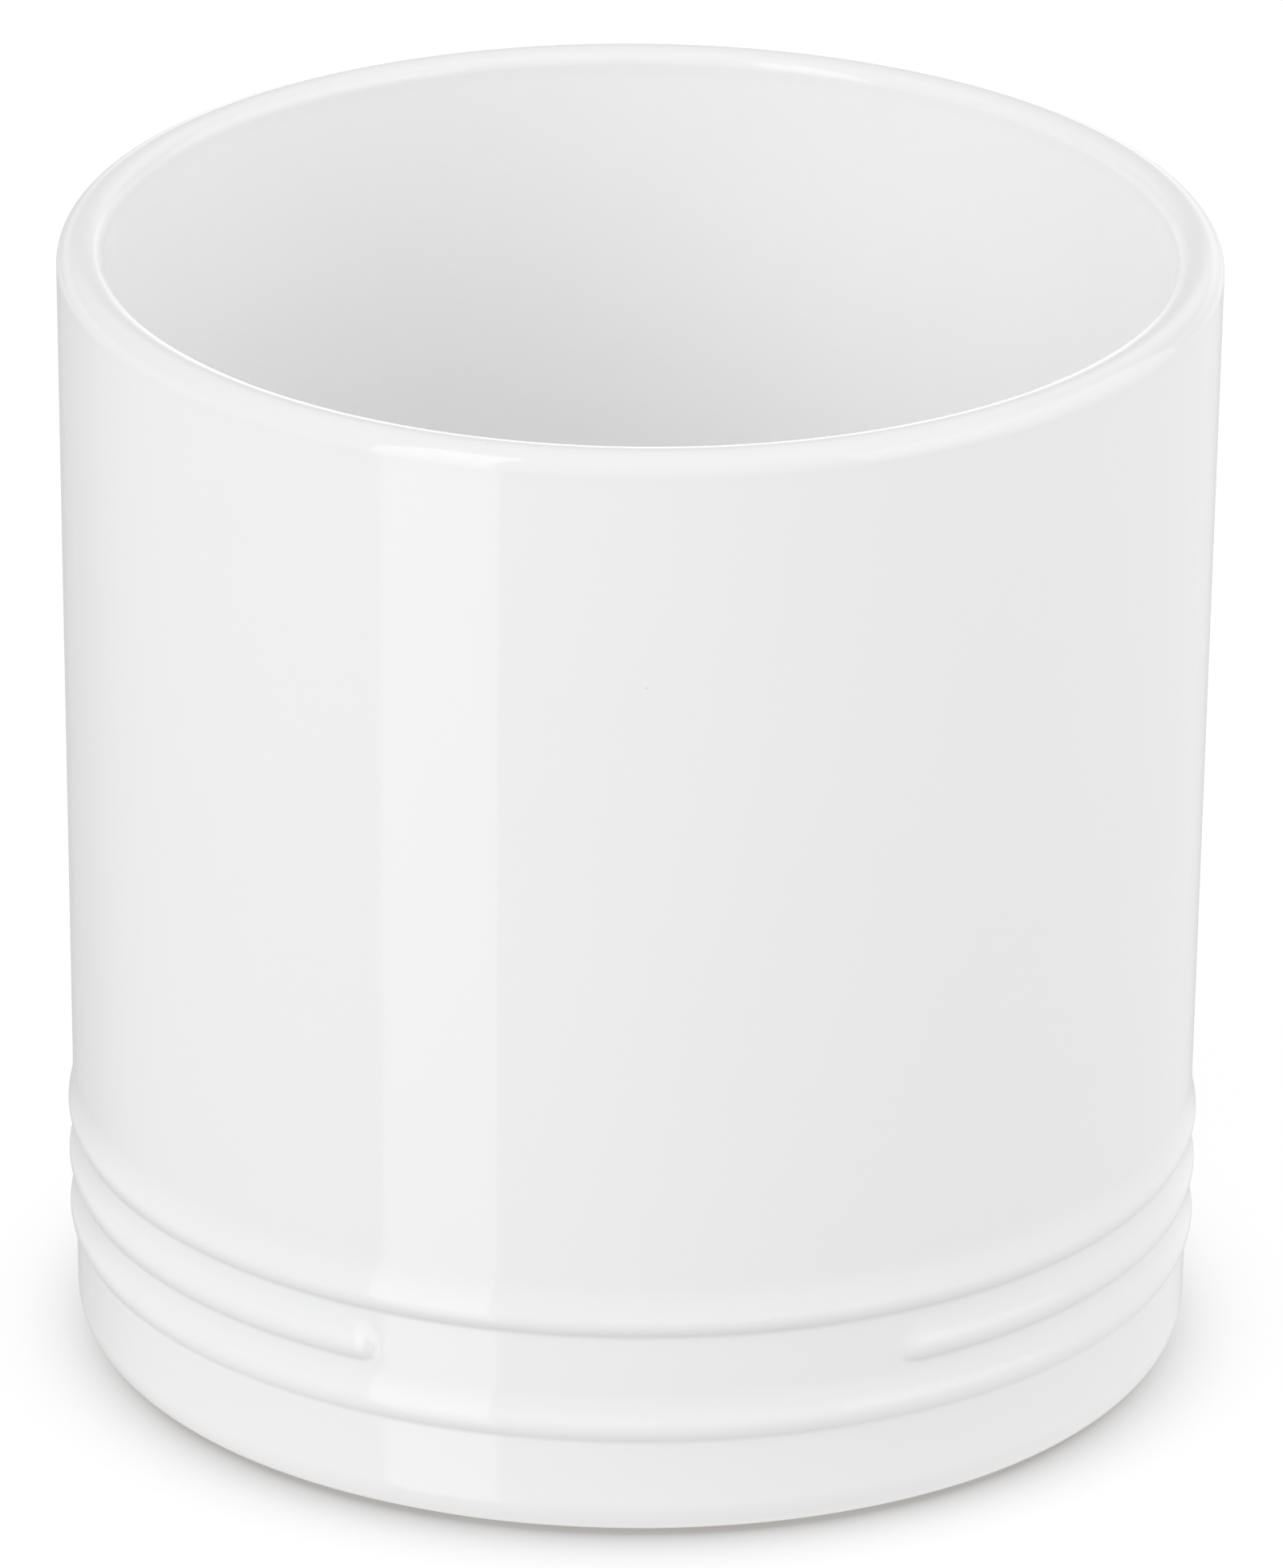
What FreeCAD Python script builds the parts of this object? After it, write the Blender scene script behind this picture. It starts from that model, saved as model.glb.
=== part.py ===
import FreeCAD, Part
import math
import os

# A straight-sided utensil crock of glazed stoneware, with three beads above its base.
# Millimetres, +Z up. The origin is on the axis, in the plane of the foot ring, and the front faces -Y.
# The glaze coats are solids of their own, laid face to face on the stoneware body.

Vector = FreeCAD.Vector

# Outside, over the glaze
HEIGHT = 160.4
RIM_DIAMETER = 160.2  # of the wall's line, at the height of the rim
BASE_DIAMETER = 154.8  # of the wall's line, at the ground
RIM_OUTER_ROUND = 3.1
RIM_INNER_ROUND = 1.9
RIM_FALL_ANGLE = 15.0  # the rim's top curves over to this slope towards the inside
BASE_EDGE_ROUND = 5.6

# Inside, over the glaze
WALL_THICKNESS = 6.2  # measured level
FLOOR_THICKNESS = 7.0  # from the recess under the base to the inside floor
INSIDE_FLOOR_ROUND = 10.0

# Foot ring, and the shallow recess that it goes round
FOOT_RING_WIDTH = 5.5
RECESS_DEPTH = 2.0
RECESS_TAPER = 1.0
RECESS_EDGE_ROUND = 0.8

# Beads: each flares out downwards to a round nose, and the nose turns in to a crease
BEAD_COUNT = 3
BEAD_PITCH = 7.85
BASE_BAND_HEIGHT = 15.1
BEAD_PROUD = 0.7  # crest, out from the wall's line
CREASE_DEPTH = 0.85  # below the crest
CREST_ABOVE_CREASE = 2.1
CREASE_ROUND = 1.2

# Plain panel at the front, where one bead stops and its band goes on level with the creases
PANEL_BEAD = 1  # counted from the lowest, which is 0
PANEL_ANGLE = 59.0
FRONT_ANGLE = -90.0
BEAD_END_LENGTH = 2.5  # over which the bead's round ends sink into the panel

# Glaze
GLAZE_THICKNESS = 0.4
DRY_FOOT_HEIGHT = 0.8  # the foot is wiped bare up to here

# How far cutting shapes run past what they cut
OVERRUN = 1.0

# Worked out from the sizes above
RIM_RADIUS = RIM_DIAMETER / 2
BASE_RADIUS = BASE_DIAMETER / 2
DRAFT = math.atan2(RIM_RADIUS - BASE_RADIUS, HEIGHT)
FLOOR_HEIGHT = RECESS_DEPTH + FLOOR_THICKNESS
CREASE_OFFSET = BEAD_PROUD - CREASE_DEPTH
NOSE_RADIUS = (CREST_ABOVE_CREASE**2 + CREASE_DEPTH**2) / (2 * CREASE_DEPTH)
END_RADIUS = (BEAD_END_LENGTH**2 - CREASE_DEPTH**2) / (2 * CREASE_DEPTH)

ORIGIN = Vector(0, 0, 0)
UP = Vector(0, 0, 1)
FULL_TURN = 360.0
CROWN_SHARE = 0.45  # of the rim's top, for each half of the curve over it
END_TURN = 60.0  # takes the whole end of the bead below the panel


# Outline of the turned shape, in the XZ plane with the clay on its left.
# A span is a list of two places for a line, or three for an arc, and a place is a point with its outward normal.


def unit(vector):
    """The vector's direction, at length 1."""
    return vector * (1 / vector.Length)


def on_wall(out, up):
    """The point that lies out from the wall's line, at a height measured along that line."""
    across = Vector(math.cos(DRAFT), 0, -math.sin(DRAFT))
    along = Vector(math.sin(DRAFT), 0, math.cos(DRAFT))
    return Vector(BASE_RADIUS, 0, 0) + across * out + along * up


def line_span(start, end):
    """A straight span."""
    along = unit(end - start)
    normal = Vector(along.z, 0, -along.x)
    return [(start, normal), (end, normal)]


def arc_span(centre, start, end, hollow=False):
    """An arc of under half a turn about a centre, hollow where the clay lies outside its circle."""
    radius = (start - centre).Length
    first = unit(start - centre)
    last = unit(end - centre)
    side = -1 if hollow else 1
    return [(centre + ray * radius, ray * side) for ray in (first, unit(first + last), last)]


def rounded_spans(corners):
    """Straight spans from corner to corner, each inner corner rounded by its own radius."""
    spans = []
    start = corners[0][0]
    for (before, _), (corner, radius), (after, _) in zip(corners, corners[1:], corners[2:]):
        arriving = unit(corner - before)
        leaving = unit(after - corner)
        half_turn = arriving.getAngle(leaving) / 2
        first = corner - arriving * (radius * math.tan(half_turn))
        last = corner + leaving * (radius * math.tan(half_turn))
        centre = corner + unit(leaving - arriving) * (radius / math.cos(half_turn))
        spans.append(line_span(start, first))
        spans.append(arc_span(centre, first, last, hollow=arriving.cross(leaving).y > 0))
        start = last
    spans.append(line_span(start, corners[-1][0]))
    return spans


def bead_spans(index):
    """One bead from its crease up, counted from the lowest: crease, nose below and above its crest, flank."""
    crest_height = BASE_BAND_HEIGHT + index * BEAD_PITCH + CREST_ABOVE_CREASE
    nose_out = BEAD_PROUD - NOSE_RADIUS
    crease_out = CREASE_OFFSET + CREASE_ROUND
    crease_reach = NOSE_RADIUS + CREASE_ROUND
    crease_drop = math.sqrt(crease_reach**2 - (crease_out - nose_out) ** 2)
    nose = on_wall(nose_out, crest_height)
    crest = on_wall(BEAD_PROUD, crest_height)
    crease = on_wall(crease_out, crest_height - crease_drop)
    crease_start = on_wall(CREASE_OFFSET, crest_height - crease_drop)
    crease_end = nose + unit(crease - nose) * NOSE_RADIUS

    top_bead = index == BEAD_COUNT - 1
    flank_out = 0 if top_bead else CREASE_OFFSET
    flank_height = BASE_BAND_HEIGHT + BEAD_COUNT * BEAD_PITCH if top_bead else crest_height - crease_drop + BEAD_PITCH
    rise = BEAD_PROUD - flank_out
    run = flank_height - crest_height
    reach = (rise**2 + run**2) / (2 * rise)
    flank = on_wall(flank_out + reach - NOSE_RADIUS, flank_height)
    flank_start = nose + unit(flank - nose) * NOSE_RADIUS
    flank_end = on_wall(flank_out, flank_height)
    return [
        arc_span(crease, crease_start, crease_end, hollow=True),
        arc_span(nose, crease_end, crest),
        arc_span(nose, crest, flank_start),
        arc_span(flank, flank_start, flank_end, hollow=True),
    ]


def rim_corners():
    """The outer corner of the rim, the corner where its top starts to fall, and its inner corner, with their rounds."""
    fall = math.radians(RIM_FALL_ANGLE)
    outer_run = RIM_OUTER_ROUND * math.tan((math.pi / 2 + DRAFT) / 2)
    inner_run = RIM_INNER_ROUND * math.tan((math.pi / 2 - DRAFT - fall) / 2) * math.cos(fall)
    top = WALL_THICKNESS - outer_run - inner_run
    crown = top * CROWN_SHARE / math.tan(fall / 2)
    slope = WALL_THICKNESS - outer_run - top / 2
    drop = slope * math.tan(fall) / (1 - math.tan(fall) * math.tan(DRAFT))
    return [
        (Vector(RIM_RADIUS, 0, HEIGHT), RIM_OUTER_ROUND),
        (Vector(RIM_RADIUS - WALL_THICKNESS + slope, 0, HEIGHT), crown),
        (Vector(RIM_RADIUS - WALL_THICKNESS - drop * math.tan(DRAFT), 0, HEIGHT - drop), RIM_INNER_ROUND),
    ]


def outline_spans():
    """The whole outline, from the axis under the base to the axis on the inside floor, all round as at the panel."""
    base_corner = BASE_RADIUS + CREASE_OFFSET / math.cos(DRAFT)
    foot_corner = base_corner - BASE_EDGE_ROUND - FOOT_RING_WIDTH
    floor_corner = BASE_RADIUS - WALL_THICKNESS + FLOOR_HEIGHT * math.tan(DRAFT)
    lower = [span for index in range(PANEL_BEAD) for span in bead_spans(index)]
    upper = [span for index in range(PANEL_BEAD + 1, BEAD_COUNT) for span in bead_spans(index)]
    base = rounded_spans([
        (Vector(0, 0, RECESS_DEPTH), 0),
        (Vector(foot_corner - RECESS_TAPER, 0, RECESS_DEPTH), RECESS_EDGE_ROUND),
        (Vector(foot_corner, 0, 0), RECESS_EDGE_ROUND),
        (Vector(base_corner, 0, 0), BASE_EDGE_ROUND),
        (lower[0][0][0], 0),
    ])
    panel = line_span(lower[-1][-1][0], upper[0][0][0])
    beads = lower + [panel] + upper
    wall = rounded_spans([
        (beads[-1][-1][0], 0),
        *rim_corners(),
        (Vector(floor_corner, 0, FLOOR_HEIGHT), INSIDE_FLOOR_ROUND),
        (Vector(0, 0, FLOOR_HEIGHT), 0),
    ])
    return base + beads + wall


# Solids


def span_edge(span, inset):
    """The span's edge, moved into the clay by the inset."""
    points = [point - normal * inset for point, normal in span]
    if len(points) == 2:
        return Part.LineSegment(*points).toShape()
    return Part.Arc(*points).toShape()


def section(spans, inset, closing_points):
    """A flat face bounded by the spans and by straight lines through the closing points."""
    edges = [span_edge(span, inset) for span in spans]
    corners = [edges[-1].Vertexes[-1].Point] + closing_points + [edges[0].Vertexes[0].Point]
    for start, end in zip(corners, corners[1:]):
        edges.append(Part.LineSegment(start, end).toShape())
    return Part.Face(Part.Wire(edges))


def polygon_turned(points):
    """A solid turned from a straight-sided face."""
    return Part.Face(Part.makePolygon(points + points[:1])).revolve(ORIGIN, UP, FULL_TURN)


def panel_bead(inset):
    """The bead that stops at the panel: its long sweep, and its two ends, which turn down into the clay."""
    spans = bead_spans(PANEL_BEAD)
    (low, low_normal), (high, high_normal) = spans[0][0], spans[-1][-1]
    root = inset + OVERRUN
    face = section(spans, inset, [high - high_normal * root, low - low_normal * root])
    end_axis = unit(high - low)
    end_middle = low - low_normal * END_RADIUS
    sweep = FULL_TURN - PANEL_ANGLE
    long_sweep = face.revolve(ORIGIN, UP, sweep)
    first_end = face.revolve(end_middle, end_axis, -END_TURN)
    last_end = face.revolve(end_middle, end_axis, END_TURN)
    last_end.rotate(ORIGIN, UP, sweep)
    pieces = [long_sweep, first_end, last_end]
    for piece in pieces:
        piece.rotate(ORIGIN, UP, FRONT_ANGLE + PANEL_ANGLE / 2)
    return pieces


def crock_solid(inset):
    """The whole crock, with every face moved into the clay by the inset."""
    turned = section(outline_spans(), inset, []).revolve(ORIGIN, UP, FULL_TURN)
    return turned.fuse(panel_bead(inset)).removeSplitter()


def build():
    """The body and its glaze coats, by node name."""
    glazed = crock_solid(0)
    bare = crock_solid(GLAZE_THICKNESS)
    dry_radius = BASE_RADIUS + OVERRUN
    dry_zone = Part.makeCylinder(dry_radius, DRY_FOOT_HEIGHT + OVERRUN, Vector(0, 0, -OVERRUN))
    body = bare.fuse(glazed.common(dry_zone)).removeSplitter()
    coat = glazed.cut(bare).cut(dry_zone)

    # The inside and outside coats meet on the curve of the rim's top
    floor_middle = RECESS_DEPTH + FLOOR_THICKNESS / 2
    rim_middle = rim_corners()[1][0].x
    top = HEIGHT + OVERRUN
    inside_zone = polygon_turned([
        Vector(0, 0, floor_middle),
        Vector(rim_middle - (HEIGHT - floor_middle) * math.tan(DRAFT), 0, floor_middle),
        Vector(rim_middle + OVERRUN * math.tan(DRAFT), 0, top),
        Vector(0, 0, top),
    ])
    foot_middle = BASE_RADIUS - BASE_EDGE_ROUND - FOOT_RING_WIDTH / 2
    underside_zone = Part.makeCylinder(foot_middle, floor_middle)
    return {
        "stoneware_body": body,
        "outside_glaze": coat.cut([inside_zone, underside_zone]),
        "inside_glaze": coat.common(inside_zone),
        "underside_glaze": coat.common(underside_zone),
    }


os.makedirs("parts", exist_ok=True)
for name, shape in build().items():
    shape.exportStep(f"parts/{name}.step")
    print(name, "solids", len(shape.Solids), "valid", shape.isValid(), "mm3", round(shape.Volume, 1))
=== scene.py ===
"""Dresses the utensil crock: its stoneware body with a dry foot ring, and its three white glaze coats."""

import logging
import math
from collections.abc import Iterable, Mapping, Sequence
from dataclasses import dataclass, field, replace
from enum import Enum
from typing import Any

import bpy
from mathutils import Matrix, Vector


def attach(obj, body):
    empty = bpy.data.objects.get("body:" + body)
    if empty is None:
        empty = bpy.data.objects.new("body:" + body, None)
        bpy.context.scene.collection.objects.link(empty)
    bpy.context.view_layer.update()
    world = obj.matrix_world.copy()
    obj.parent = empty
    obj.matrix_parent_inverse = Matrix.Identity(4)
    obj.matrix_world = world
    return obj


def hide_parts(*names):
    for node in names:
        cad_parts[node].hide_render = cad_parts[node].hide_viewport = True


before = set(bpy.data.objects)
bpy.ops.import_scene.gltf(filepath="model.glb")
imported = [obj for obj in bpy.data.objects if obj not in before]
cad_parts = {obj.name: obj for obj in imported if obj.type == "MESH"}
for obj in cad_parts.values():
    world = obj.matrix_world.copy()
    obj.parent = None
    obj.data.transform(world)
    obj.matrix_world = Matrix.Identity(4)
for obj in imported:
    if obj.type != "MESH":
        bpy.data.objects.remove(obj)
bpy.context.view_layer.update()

LOG = logging.getLogger("crock")

Colour = tuple[float, float, float, float]
Span = tuple[float, float]

# How far the photo's viewpoint lies round from the crock's front, towards the right
VIEW_TURN = math.radians(-1.06)

# Names of what the turned outline hands on to the node trees
RISE = "bead_rise"
STOPS = "bead_stops"
SLIDE = "edge_slide"
DEPTH = "glaze_depth"


# Node trees


class Wire:
    """One output socket of a node tree, with arithmetic that adds Math nodes."""

    def __init__(self, net: "Net", socket: bpy.types.NodeSocket) -> None:
        """Keeps the tree and the socket."""
        self.net = net
        self.socket = socket

    def port(self, name: str) -> "Wire":
        """Another output of the same node, by name."""
        return Wire(self.net, self.socket.node.outputs[name])

    def __add__(self, other: Any) -> "Wire":
        """This plus the other."""
        return self.net.math("ADD", self, other)

    __radd__ = __add__

    def __sub__(self, other: Any) -> "Wire":
        """This less the other."""
        return self.net.math("SUBTRACT", self, other)

    def __rsub__(self, other: Any) -> "Wire":
        """The other less this."""
        return self.net.math("SUBTRACT", other, self)

    def __mul__(self, other: Any) -> "Wire":
        """This times the other."""
        return self.net.math("MULTIPLY", self, other)

    __rmul__ = __mul__

    def __truediv__(self, other: Any) -> "Wire":
        """This over the other."""
        return self.net.math("DIVIDE", self, other)


class Net:
    """Adds nodes to one node tree and links them."""

    def __init__(self, tree: bpy.types.NodeTree) -> None:
        """Empties the tree."""
        self.tree = tree
        tree.nodes.clear()

    def node(
        self,
        kind: str,
        settings: Mapping[str, Any] | None = None,
        sockets: Mapping[str | int, Any] | None = None,
        output: str | int = 0,
    ) -> Wire:
        """Adds one node.

        Args:
            kind: the node's type.
            settings: its own properties, which are set first.
            sockets: values or wires for its inputs, by name or place.
            output: the output that is handed back.

        Returns:
            The wire of that output.
        """
        node = self.tree.nodes.new(kind)
        for name, value in (settings or {}).items():
            setattr(node, name, value)
        for key, value in (sockets or {}).items():
            self.plug(value, node.inputs[key])
        return Wire(self, node.outputs[output]) if node.outputs else Wire(self, node.inputs[0])

    def plug(self, value: Any, socket: bpy.types.NodeSocket) -> None:
        """Links a wire to an input, or sets the input's own value."""
        if isinstance(value, Wire):
            self.tree.links.new(value.socket, socket)
        else:
            socket.default_value = value

    def math(self, operation: str, first: Any, second: Any = 0.0) -> Wire:
        """Adds a Math node for two values."""
        return self.node("ShaderNodeMath", {"operation": operation}, {0: first, 1: second})

    def ease(self, value: Any, low: Any, high: Any, start: Any = 0.0, end: Any = 1.0) -> Wire:
        """Maps a value from the range low to high onto start to end, with soft ends."""
        settings = {"interpolation_type": "SMOOTHSTEP"}
        return self.node("ShaderNodeMapRange", settings, {0: value, 1: low, 2: high, 3: start, 4: end})

    def blend(self, share: Any, first: Any, second: Any) -> Wire:
        """Mixes two colours by a share of the second."""
        sockets = {0: share, 6: first, 7: second}
        return self.node("ShaderNodeMix", {"data_type": "RGBA", "clamp_factor": True}, sockets, 2)

    def noise(self, vector: Wire, scale: float, detail: float = 2.0) -> Wire:
        """Noise from 0 to 1 over a vector."""
        return self.node("ShaderNodeTexNoise", {}, {"Vector": vector, "Scale": scale, "Detail": detail})

    def flecks(self, vector: Wire, scale: float, size: Span, share: float) -> Wire:
        """Round flecks, each in a cell of its own.

        Args:
            vector: the place on the surface.
            scale: how close the cells lie.
            size: where a fleck starts to fade, and where it ends, as shares of a cell.
            share: the share of the cells that have one.

        Returns:
            1 on a fleck, and 0 off it.
        """
        cells = self.node("ShaderNodeTexVoronoi", {"feature": "F1"}, {"Vector": vector, "Scale": scale})
        chance = self.node("ShaderNodeSeparateColor", {}, {0: cells.port("Color")}, 0)
        return self.ease(cells, *size, 1.0, 0.0) * self.math("GREATER_THAN", chance, 1 - share)

    def surface(self, colour: Wire, roughness: Wire, refraction: float, relief: Wire) -> None:
        """Ends a material's tree in a surface with relief.

        Args:
            colour: its colour.
            roughness: its roughness.
            refraction: its index of refraction.
            relief: its height in metres.
        """
        bump = self.node("ShaderNodeBump", {}, {"Strength": 1.0, "Distance": 1.0, "Height": relief})
        sockets = {"Base Color": colour, "Roughness": roughness, "IOR": refraction, "Normal": bump}
        surface = self.node("ShaderNodeBsdfPrincipled", {}, sockets)
        self.node("ShaderNodeOutputMaterial", {}, {"Surface": surface})


# The turned outline


@dataclass(frozen=True)
class Place:
    """A place on the outline, as radius and height.

    Attributes:
        point: radius and height.
        normal: the way out of the clay.
        depth: how deep the glaze lies, from -1 where it thins and the rim takes painted shade, to 1 where
            it pools.
        rise: how far this place stands out from the plain panel, on the bead that stops there.
        stops: 1 on that bead.
        slide: how far the wiped edge moves this place along the outline, as a share.
    """

    point: Vector
    normal: Vector
    depth: float = 0.0
    rise: float = 0.0
    stops: float = 0.0
    slide: float = 0.0

    def inset(self, amount: float, slide: float = 0.0) -> "Place":
        """The place moved into the clay."""
        return replace(self, point=self.point - self.normal * amount, slide=slide)

    def onward(self) -> Vector:
        """The way along the outline."""
        return Vector((-self.normal.y, self.normal.x))


def between(first: Place, second: Place, share: float) -> Place:
    """A place between two others, at a share of the way to the second."""
    return Place(
        first.point.lerp(second.point, share),
        first.normal.lerp(second.normal, share).normalized(),
        first.depth + (second.depth - first.depth) * share,
    )


def line(start: Vector, end: Vector, shares: Iterable[float], depth: float = 0.0) -> list[Place]:
    """Places along a straight span.

    Args:
        start: where it starts.
        end: where it ends.
        shares: how far along each place lies.
        depth: the glaze's depth on it.

    Returns:
        The places.
    """
    along = (end - start).normalized()
    normal = Vector((along.y, -along.x))
    return [Place(start.lerp(end, share), normal, depth) for share in shares]


def arc(
    centre: Vector,
    start: Vector,
    end: Vector,
    steps: int,
    hollow: bool = False,
    depths: Span = (0.0, 0.0),
) -> list[Place]:
    """Places along an arc of under half a turn.

    Args:
        centre: the arc's centre.
        start: where it starts.
        end: where it ends.
        steps: how many parts it has.
        hollow: whether the clay lies outside the circle.
        depths: the glaze's depth at the start and at the end.

    Returns:
        The places, with both ends.
    """
    radius = (start - centre).length
    first = math.atan2(start.y - centre.y, start.x - centre.x)
    turn = math.atan2(end.y - centre.y, end.x - centre.x) - first
    turn = (turn + math.pi) % math.tau - math.pi
    side = -1 if hollow else 1
    places = []
    for step in range(steps + 1):
        share = step / steps
        ray = Vector((math.cos(first + turn * share), math.sin(first + turn * share)))
        places.append(Place(centre + ray * radius, ray * side, depths[0] + (depths[1] - depths[0]) * share))
    return places


# How many parts each round of the outline has
CREASE_STEPS = 6
NOSE_STEPS = 8
CREST_STEPS = 4
FLANK_STEPS = 9
RECESS_STEPS = 8
BASE_EDGE_STEPS = 24
RIM_OUTER_STEPS = 20
RIM_CROWN_STEPS = 12
RIM_INNER_STEPS = 16
INSIDE_FLOOR_STEPS = 20

# How far along a straight run its places lie
ENDS = (0.0, 1.0)
SHORT_RUN = (0.0, 0.2, 0.4, 0.6, 0.8, 1.0)
LONG_RUN = (0.0, 0.004, 0.015, 0.05, 0.15, 0.35, 0.65, 0.85, 0.95, 0.985, 0.996, 1.0)


@dataclass(frozen=True)
class CrockOutline:
    """The outline that the crock is turned from, over its glaze, in metres.

    The pooled_ and thin_ names give the glaze's depth as a Place has it; on the rim, that depth also gives
    painted shade. thin_and_shaded_from gives how far below the rim's top the glaze starts thinning and
    darkening, and where it is thinnest and darkest.
    """

    height: float = 0.1604
    rim_radius: float = 0.0801
    base_radius: float = 0.0774
    rim_outer_round: float = 0.0031
    rim_inner_round: float = 0.0019
    rim_fall: float = math.radians(15)
    crown_share: float = 0.45
    base_edge_round: float = 0.0056
    wall_thickness: float = 0.0062
    floor_thickness: float = 0.0070
    inside_floor_round: float = 0.0100
    foot_ring_width: float = 0.0055
    recess_depth: float = 0.0020
    recess_taper: float = 0.0010
    recess_edge_round: float = 0.0008
    bead_count: int = 3
    panel_bead: int = 1
    bead_pitch: float = 0.00785
    base_band_height: float = 0.0151
    bead_proud: float = 0.0007
    crease_depth: float = 0.00085
    crest_above_crease: float = 0.0021
    crease_round: float = 0.0012
    pooled_in_crease: float = 1.0
    pooled_at_nose: float = 0.8
    pooled_in_recess: float = 0.6
    pooled_on_floor: float = 0.5
    thin_at_crest: float = -0.1
    # On the rim, the thinned glaze also darkens its top as painted shade
    thin_and_shaded_at_rim: float = -1.0
    thin_and_shaded_from: Span = (0.0040, 0.0010)

    @property
    def draft(self) -> float:
        """How far the wall leans out, as an angle."""
        return math.atan2(self.rim_radius - self.base_radius, self.height)

    @property
    def crease_offset(self) -> float:
        """Where the creases and the base band lie, out from the wall's line."""
        return self.bead_proud - self.crease_depth

    @property
    def nose_radius(self) -> float:
        """The round of a bead's nose."""
        return (self.crest_above_crease**2 + self.crease_depth**2) / (2 * self.crease_depth)

    @property
    def floor_height(self) -> float:
        """The inside floor's height."""
        return self.recess_depth + self.floor_thickness

    @property
    def rim_middle(self) -> float:
        """The radius at which the inside and outside coats meet on the rim."""
        return self.rim_corners()[1][0].x

    def rim_corners(self) -> list[tuple[Vector, float]]:
        """The corners of the rim, each with its round.

        Returns:
            The outer corner, the corner where the top starts to fall, and the inner corner.
        """
        outer_run = self.rim_outer_round * math.tan((math.pi / 2 + self.draft) / 2)
        inner_run = self.rim_inner_round * math.tan((math.pi / 2 - self.draft - self.rim_fall) / 2)
        top = self.wall_thickness - outer_run - inner_run * math.cos(self.rim_fall)
        crown = top * self.crown_share / math.tan(self.rim_fall / 2)
        slope = self.wall_thickness - outer_run - top / 2
        drop = slope * math.tan(self.rim_fall) / (1 - math.tan(self.rim_fall) * math.tan(self.draft))
        inner = self.rim_radius - self.wall_thickness
        return [
            (Vector((self.rim_radius, self.height)), self.rim_outer_round),
            (Vector((inner + slope, self.height)), crown),
            (Vector((inner - drop * math.tan(self.draft), self.height - drop)), self.rim_inner_round),
        ]

    def on_wall(self, out: float, up: float) -> Vector:
        """The point that lies out from the wall's line, at a height along it."""
        across = Vector((math.cos(self.draft), -math.sin(self.draft)))
        along = Vector((math.sin(self.draft), math.cos(self.draft)))
        return Vector((self.base_radius, 0.0)) + across * out + along * up

    def rounded(
        self,
        corners: Sequence[tuple[Vector, float]],
        steps: Sequence[int],
        shares: Sequence[Iterable[float]],
        depths: Sequence[float],
    ) -> list[Place]:
        """Straight runs from corner to corner, with each inner corner rounded.

        Args:
            corners: the corners, each with its round.
            steps: how many parts each round has.
            shares: the places along each straight run.
            depths: the glaze's depth in the middle of each round.

        Returns:
            The places.
        """
        places: list[Place] = []
        start = corners[0][0]
        inner = zip(corners, corners[1:], corners[2:], steps, shares, depths)
        for (before, _), (corner, radius), (after, _), parts, run, depth in inner:
            arriving = (corner - before).normalized()
            leaving = (after - corner).normalized()
            half_turn = arriving.angle(leaving) / 2
            first = corner - arriving * (radius * math.tan(half_turn))
            last = corner + leaving * (radius * math.tan(half_turn))
            middle = corner + (leaving - arriving).normalized() * (radius / math.cos(half_turn))
            peak = middle + (corner - middle).normalized() * radius
            hollow = arriving.x * leaving.y - arriving.y * leaving.x < 0
            places += line(start, first, run)
            places += arc(middle, first, peak, parts // 2, hollow, (0, depth))
            places += arc(middle, peak, last, parts // 2, hollow, (depth, 0))
            start = last
        return places + line(start, corners[-1][0], shares[-1])

    def bead(self, index: int) -> list[Place]:
        """One bead from its crease up, counted from the lowest.

        Args:
            index: which bead.

        Returns:
            The places over its crease, nose and flank.
        """
        crest_height = self.base_band_height + index * self.bead_pitch + self.crest_above_crease
        nose_out = self.bead_proud - self.nose_radius
        crease_out = self.crease_offset + self.crease_round
        crease_drop = math.sqrt((self.nose_radius + self.crease_round) ** 2 - (crease_out - nose_out) ** 2)
        nose = self.on_wall(nose_out, crest_height)
        crest = self.on_wall(self.bead_proud, crest_height)
        crease = self.on_wall(crease_out, crest_height - crease_drop)
        crease_start = self.on_wall(self.crease_offset, crest_height - crease_drop)
        crease_end = nose + (crease - nose).normalized() * self.nose_radius

        top_bead = index == self.bead_count - 1
        flank_out = 0.0 if top_bead else self.crease_offset
        flank_height = crest_height - crease_drop + self.bead_pitch
        if top_bead:
            flank_height = self.base_band_height + self.bead_count * self.bead_pitch
        rise = self.bead_proud - flank_out
        run = flank_height - crest_height
        reach = (rise**2 + run**2) / (2 * rise)
        flank = self.on_wall(flank_out + reach - self.nose_radius, flank_height)
        flank_start = nose + (flank - nose).normalized() * self.nose_radius
        flank_end = self.on_wall(flank_out, flank_height)
        in_crease, at_nose, at_crest = self.pooled_in_crease, self.pooled_at_nose, self.thin_at_crest
        at_foot = 0.0 if top_bead else in_crease
        return (
            arc(crease, crease_start, crease_end, CREASE_STEPS, True, (in_crease, at_nose))
            + arc(nose, crease_end, crest, NOSE_STEPS, False, (at_nose, at_crest))
            + arc(nose, crest, flank_start, CREST_STEPS, False, (at_crest, at_crest))
            + arc(flank, flank_start, flank_end, FLANK_STEPS, True, (at_crest, at_foot))
        )

    def beads(self) -> list[Place]:
        """All the beads, with the rise of the one that stops at the plain panel."""
        level = self.on_wall(self.crease_offset, 0.0)
        across = self.on_wall(1.0, 0.0) - self.on_wall(0.0, 0.0)
        places = []
        for index in range(self.bead_count):
            bead = self.bead(index)
            if index == self.panel_bead:
                bead = [
                    replace(place, rise=(place.point - level).dot(across), stops=1.0)
                    for place in bead[:-1]
                ]
            places += bead
        return places

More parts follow.
